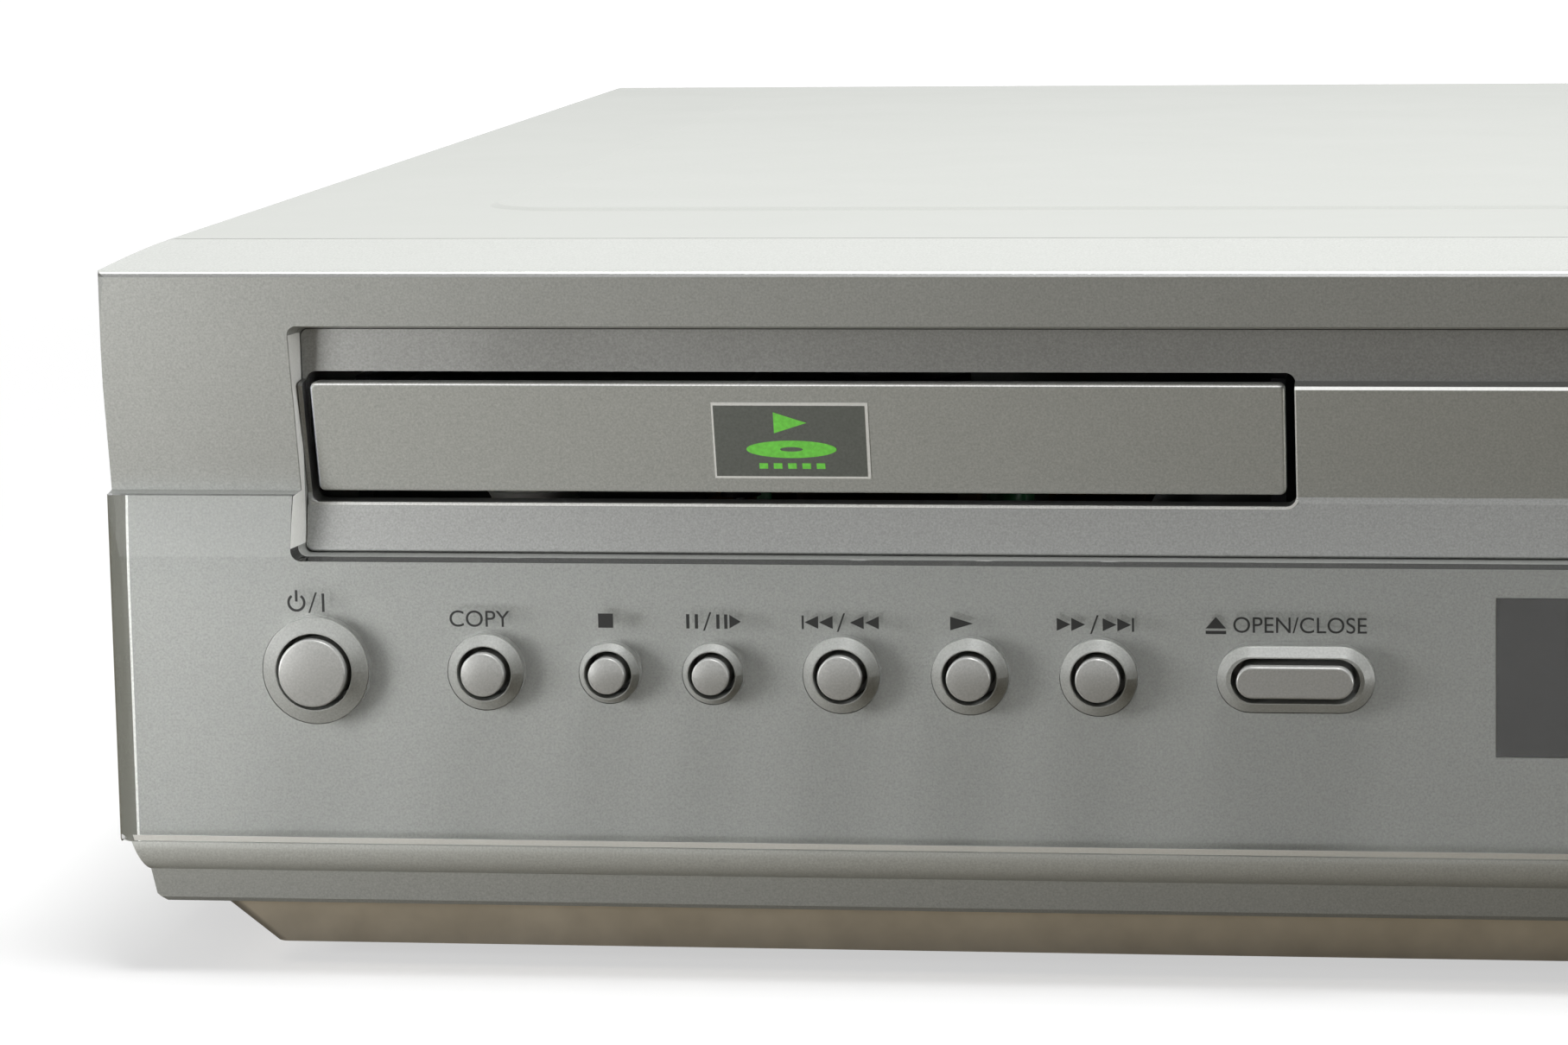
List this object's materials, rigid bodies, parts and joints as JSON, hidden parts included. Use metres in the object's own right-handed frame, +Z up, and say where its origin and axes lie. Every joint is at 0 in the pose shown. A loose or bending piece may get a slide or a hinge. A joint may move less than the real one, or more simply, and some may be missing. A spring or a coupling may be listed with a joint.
{
  "type": "disc and tape combination player",
  "caption": "Wide low player in pale silver: disc tray and cassette flap in a recessed band over a clear control plate with round buttons, with disc loader, tape deck and rear sockets.",
  "frame": {"origin": "centre of the footprint, on the surface that the feet stand on", "axes": "+X to the right seen from the front, -Y the front face, +Z up"},
  "size_m": [0.43, 0.354, 0.1018],
  "materials": {
    "cover_paint": "fine satin silver-white enamel",
    "silver_front": "satin silver paint with fine flake on ABS",
    "silver_trim": "darker satin silver paint with fine flake on ABS",
    "button_silver": "satin silver paint on ABS",
    "clear_acrylic": "clear moulded acrylic",
    "smoked_acrylic": "smoked acrylic",
    "display_glass": "dark display tube",
    "zinc_steel": "zinc plated sheet",
    "bright_steel": "ground steel",
    "turned_aluminium": "diamond turned",
    "nickel": "nickel plated",
    "black_plastic": "fine grained",
    "white_plastic": "natural acetal",
    "black_rubber": "matt",
    "black_screw": "blackened",
    "board_green": "solder mask",
    "board_brown": "phenolic board"
  },
  "bodies": {
    "case": {"aerial_sockets": "nickel", "base_pan": "zinc_steel", "carriage_brackets": "zinc_steel", "case_screws": "black_screw", "clamper_bridge": "zinc_steel", "control_plate": "clear_acrylic", "deck_chassis": "zinc_steel", "deck_posts": "zinc_steel", "disc_board": "board_green", "display_module": "display_glass", "display_window": "smoked_acrylic", "door_surround": "silver_trim", "drum_base": "turned_aluminium", "euro_av_sockets": "black_plastic", "feet": "black_rubber", "front_bezel": "silver_front", "front_board": "board_brown", "front_sockets": "black_plastic", "loader_frame": "black_plastic", "loader_legs": "black_plastic", "loading_motor": "bright_steel", "main_board": "board_green", "mains_inlet": "black_plastic", "phono_sockets": "black_plastic", "power_board": "board_brown", "rear_panel": "zinc_steel", "tact_switches": "black_plastic", "tape_heads": "bright_steel", "top_cover": "cover_paint"},
    "tray": {"disc_tray": "black_plastic", "tray_door": "silver_trim", "tray_rack": "black_plastic"},
    "flap": {"cassette_flap": "silver_trim"},
    "traverse": {"traverse_frame": "black_plastic", "sled_rods": "bright_steel"},
    "sled": {"laser_sled": "black_plastic"},
    "spindle": {"turntable": "black_plastic"},
    "clamper": {"disc_clamper": "white_plastic"},
    "gear": {"loading_gear": "white_plastic"},
    "drum": {"head_drum": "turned_aluminium"},
    "capstan_body": {"capstan": "bright_steel"},
    "supply": {"supply_reel": "black_plastic"},
    "takeup": {"takeup_reel": "black_plastic"},
    "pinch": {"pinch_arm": "black_rubber"},
    "slides": {"carriage_slides": "zinc_steel"},
    "holder": {"cassette_holder": "zinc_steel"},
    "power_button_body": {"power_button": "button_silver"},
    "copy_button_body": {"copy_button": "button_silver"},
    "disc_stop_button_body": {"disc_stop_button": "button_silver"},
    "disc_pause_button_body": {"disc_pause_button": "button_silver"},
    "disc_previous_button_body": {"disc_previous_button": "button_silver"},
    "disc_play_button_body": {"disc_play_button": "button_silver"},
    "disc_next_button_body": {"disc_next_button": "button_silver"},
    "open_close_button_body": {"open_close_button": "button_silver"},
    "record_button_body": {"record_button": "button_silver"},
    "tape_stop_button_body": {"tape_stop_button": "button_silver"},
    "tape_rewind_button_body": {"tape_rewind_button": "button_silver"},
    "tape_play_button_body": {"tape_play_button": "button_silver"},
    "tape_forward_button_body": {"tape_forward_button": "button_silver"},
    "tape_eject_button_body": {"tape_eject_button": "button_silver"}
  },
  "joints": [
    {"name": "tray_slide", "type": "slide", "parent": "case", "child": "tray", "axis": [0, -1, 0], "range_m": [0, 0.14]},
    {"name": "gear_spin", "type": "hinge", "parent": "case", "child": "gear", "pos_m": [-0.1603, -0.145, 0.068], "axis": [0, 0, 1], "range_deg": [0, 1003]},
    {"name": "flap_hinge", "type": "hinge", "parent": "case", "child": "flap", "pos_m": [0.087, -0.167, 0.0894], "axis": [1, 0, 0], "range_deg": [0, 90], "stiffness_Nm_per_rad": 0.004, "springref_deg": -28.65},
    {"name": "traverse_hinge", "type": "hinge", "parent": "case", "child": "traverse", "pos_m": [-0.1183, -0.006, 0.0612], "axis": [1, 0, 0], "range_deg": [0, 5]},
    {"name": "turntable_spin", "type": "hinge", "parent": "traverse", "child": "spindle", "pos_m": [-0.1183, -0.092, 0.072], "axis": [0, 0, 1], "continuous": true},
    {"name": "sled_slide", "type": "slide", "parent": "traverse", "child": "sled", "axis": [0, 1, 0], "range_m": [0, 0.034]},
    {"name": "clamper_spin", "type": "hinge", "parent": "case", "child": "clamper", "pos_m": [-0.1183, -0.092, 0.083], "axis": [0, 0, 1], "continuous": true},
    {"name": "drum_spin", "type": "hinge", "parent": "case", "child": "drum", "pos_m": [0.087, 0.025, 0.042], "axis": [0.0872, 0, 0.9962], "continuous": true},
    {"name": "capstan_spin", "type": "hinge", "parent": "case", "child": "capstan_body", "pos_m": [0.139, -0.004, 0.04], "axis": [0, 0, 1], "continuous": true},
    {"name": "supply_spin", "type": "hinge", "parent": "case", "child": "supply", "pos_m": [0.041, -0.062, 0.04], "axis": [0, 0, 1], "continuous": true},
    {"name": "takeup_spin", "type": "hinge", "parent": "case", "child": "takeup", "pos_m": [0.133, -0.062, 0.04], "axis": [0, 0, 1], "continuous": true},
    {"name": "pinch_swing", "type": "hinge", "parent": "case", "child": "pinch", "pos_m": [0.168, 0.012, 0.05], "axis": [0, 0, 1], "range_deg": [0, 18.5], "stiffness_Nm_per_rad": 0.01, "springref_deg": -11.46},
    {"name": "carriage_slide", "type": "slide", "parent": "case", "child": "slides", "axis": [0, 1, 0], "range_m": [0, 0.025]},
    {"name": "holder_drop", "type": "slide", "parent": "slides", "child": "holder", "axis": [0, 0, -1], "range_m": [0, 0.018]},
    {"name": "power_button_press", "type": "slide", "parent": "case", "child": "power_button_body", "axis": [0, 1, 0], "range_m": [0, 0.0008], "stiffness_N_per_m": 400, "springref_m": -0.0005},
    {"name": "copy_button_press", "type": "slide", "parent": "case", "child": "copy_button_body", "axis": [0, 1, 0], "range_m": [0, 0.0008], "stiffness_N_per_m": 400, "springref_m": -0.0005},
    {"name": "disc_stop_button_press", "type": "slide", "parent": "case", "child": "disc_stop_button_body", "axis": [0, 1, 0], "range_m": [0, 0.0008], "stiffness_N_per_m": 400, "springref_m": -0.0005},
    {"name": "disc_pause_button_press", "type": "slide", "parent": "case", "child": "disc_pause_button_body", "axis": [0, 1, 0], "range_m": [0, 0.0008], "stiffness_N_per_m": 400, "springref_m": -0.0005},
    {"name": "disc_previous_button_press", "type": "slide", "parent": "case", "child": "disc_previous_button_body", "axis": [0, 1, 0], "range_m": [0, 0.0008], "stiffness_N_per_m": 400, "springref_m": -0.0005},
    {"name": "disc_play_button_press", "type": "slide", "parent": "case", "child": "disc_play_button_body", "axis": [0, 1, 0], "range_m": [0, 0.0008], "stiffness_N_per_m": 400, "springref_m": -0.0005},
    {"name": "disc_next_button_press", "type": "slide", "parent": "case", "child": "disc_next_button_body", "axis": [0, 1, 0], "range_m": [0, 0.0008], "stiffness_N_per_m": 400, "springref_m": -0.0005},
    {"name": "open_close_button_press", "type": "slide", "parent": "case", "child": "open_close_button_body", "axis": [0, 1, 0], "range_m": [0, 0.0008], "stiffness_N_per_m": 400, "springref_m": -0.0005},
    {"name": "record_button_press", "type": "slide", "parent": "case", "child": "record_button_body", "axis": [0, 1, 0], "range_m": [0, 0.0008], "stiffness_N_per_m": 400, "springref_m": -0.0005},
    {"name": "tape_stop_button_press", "type": "slide", "parent": "case", "child": "tape_stop_button_body", "axis": [0, 1, 0], "range_m": [0, 0.0008], "stiffness_N_per_m": 400, "springref_m": -0.0005},
    {"name": "tape_rewind_button_press", "type": "slide", "parent": "case", "child": "tape_rewind_button_body", "axis": [0, 1, 0], "range_m": [0, 0.0008], "stiffness_N_per_m": 400, "springref_m": -0.0005},
    {"name": "tape_play_button_press", "type": "slide", "parent": "case", "child": "tape_play_button_body", "axis": [0, 1, 0], "range_m": [0, 0.0008], "stiffness_N_per_m": 400, "springref_m": -0.0005},
    {"name": "tape_forward_button_press", "type": "slide", "parent": "case", "child": "tape_forward_button_body", "axis": [0, 1, 0], "range_m": [0, 0.0008], "stiffness_N_per_m": 400, "springref_m": -0.0005},
    {"name": "tape_eject_button_press", "type": "slide", "parent": "case", "child": "tape_eject_button_body", "axis": [0, 1, 0], "range_m": [0, 0.0008], "stiffness_N_per_m": 400, "springref_m": -0.0005}
  ],
  "couplings": [
    {"joint": "gear_spin", "follows": "tray_slide", "rad_per_m": 125}
  ]
}
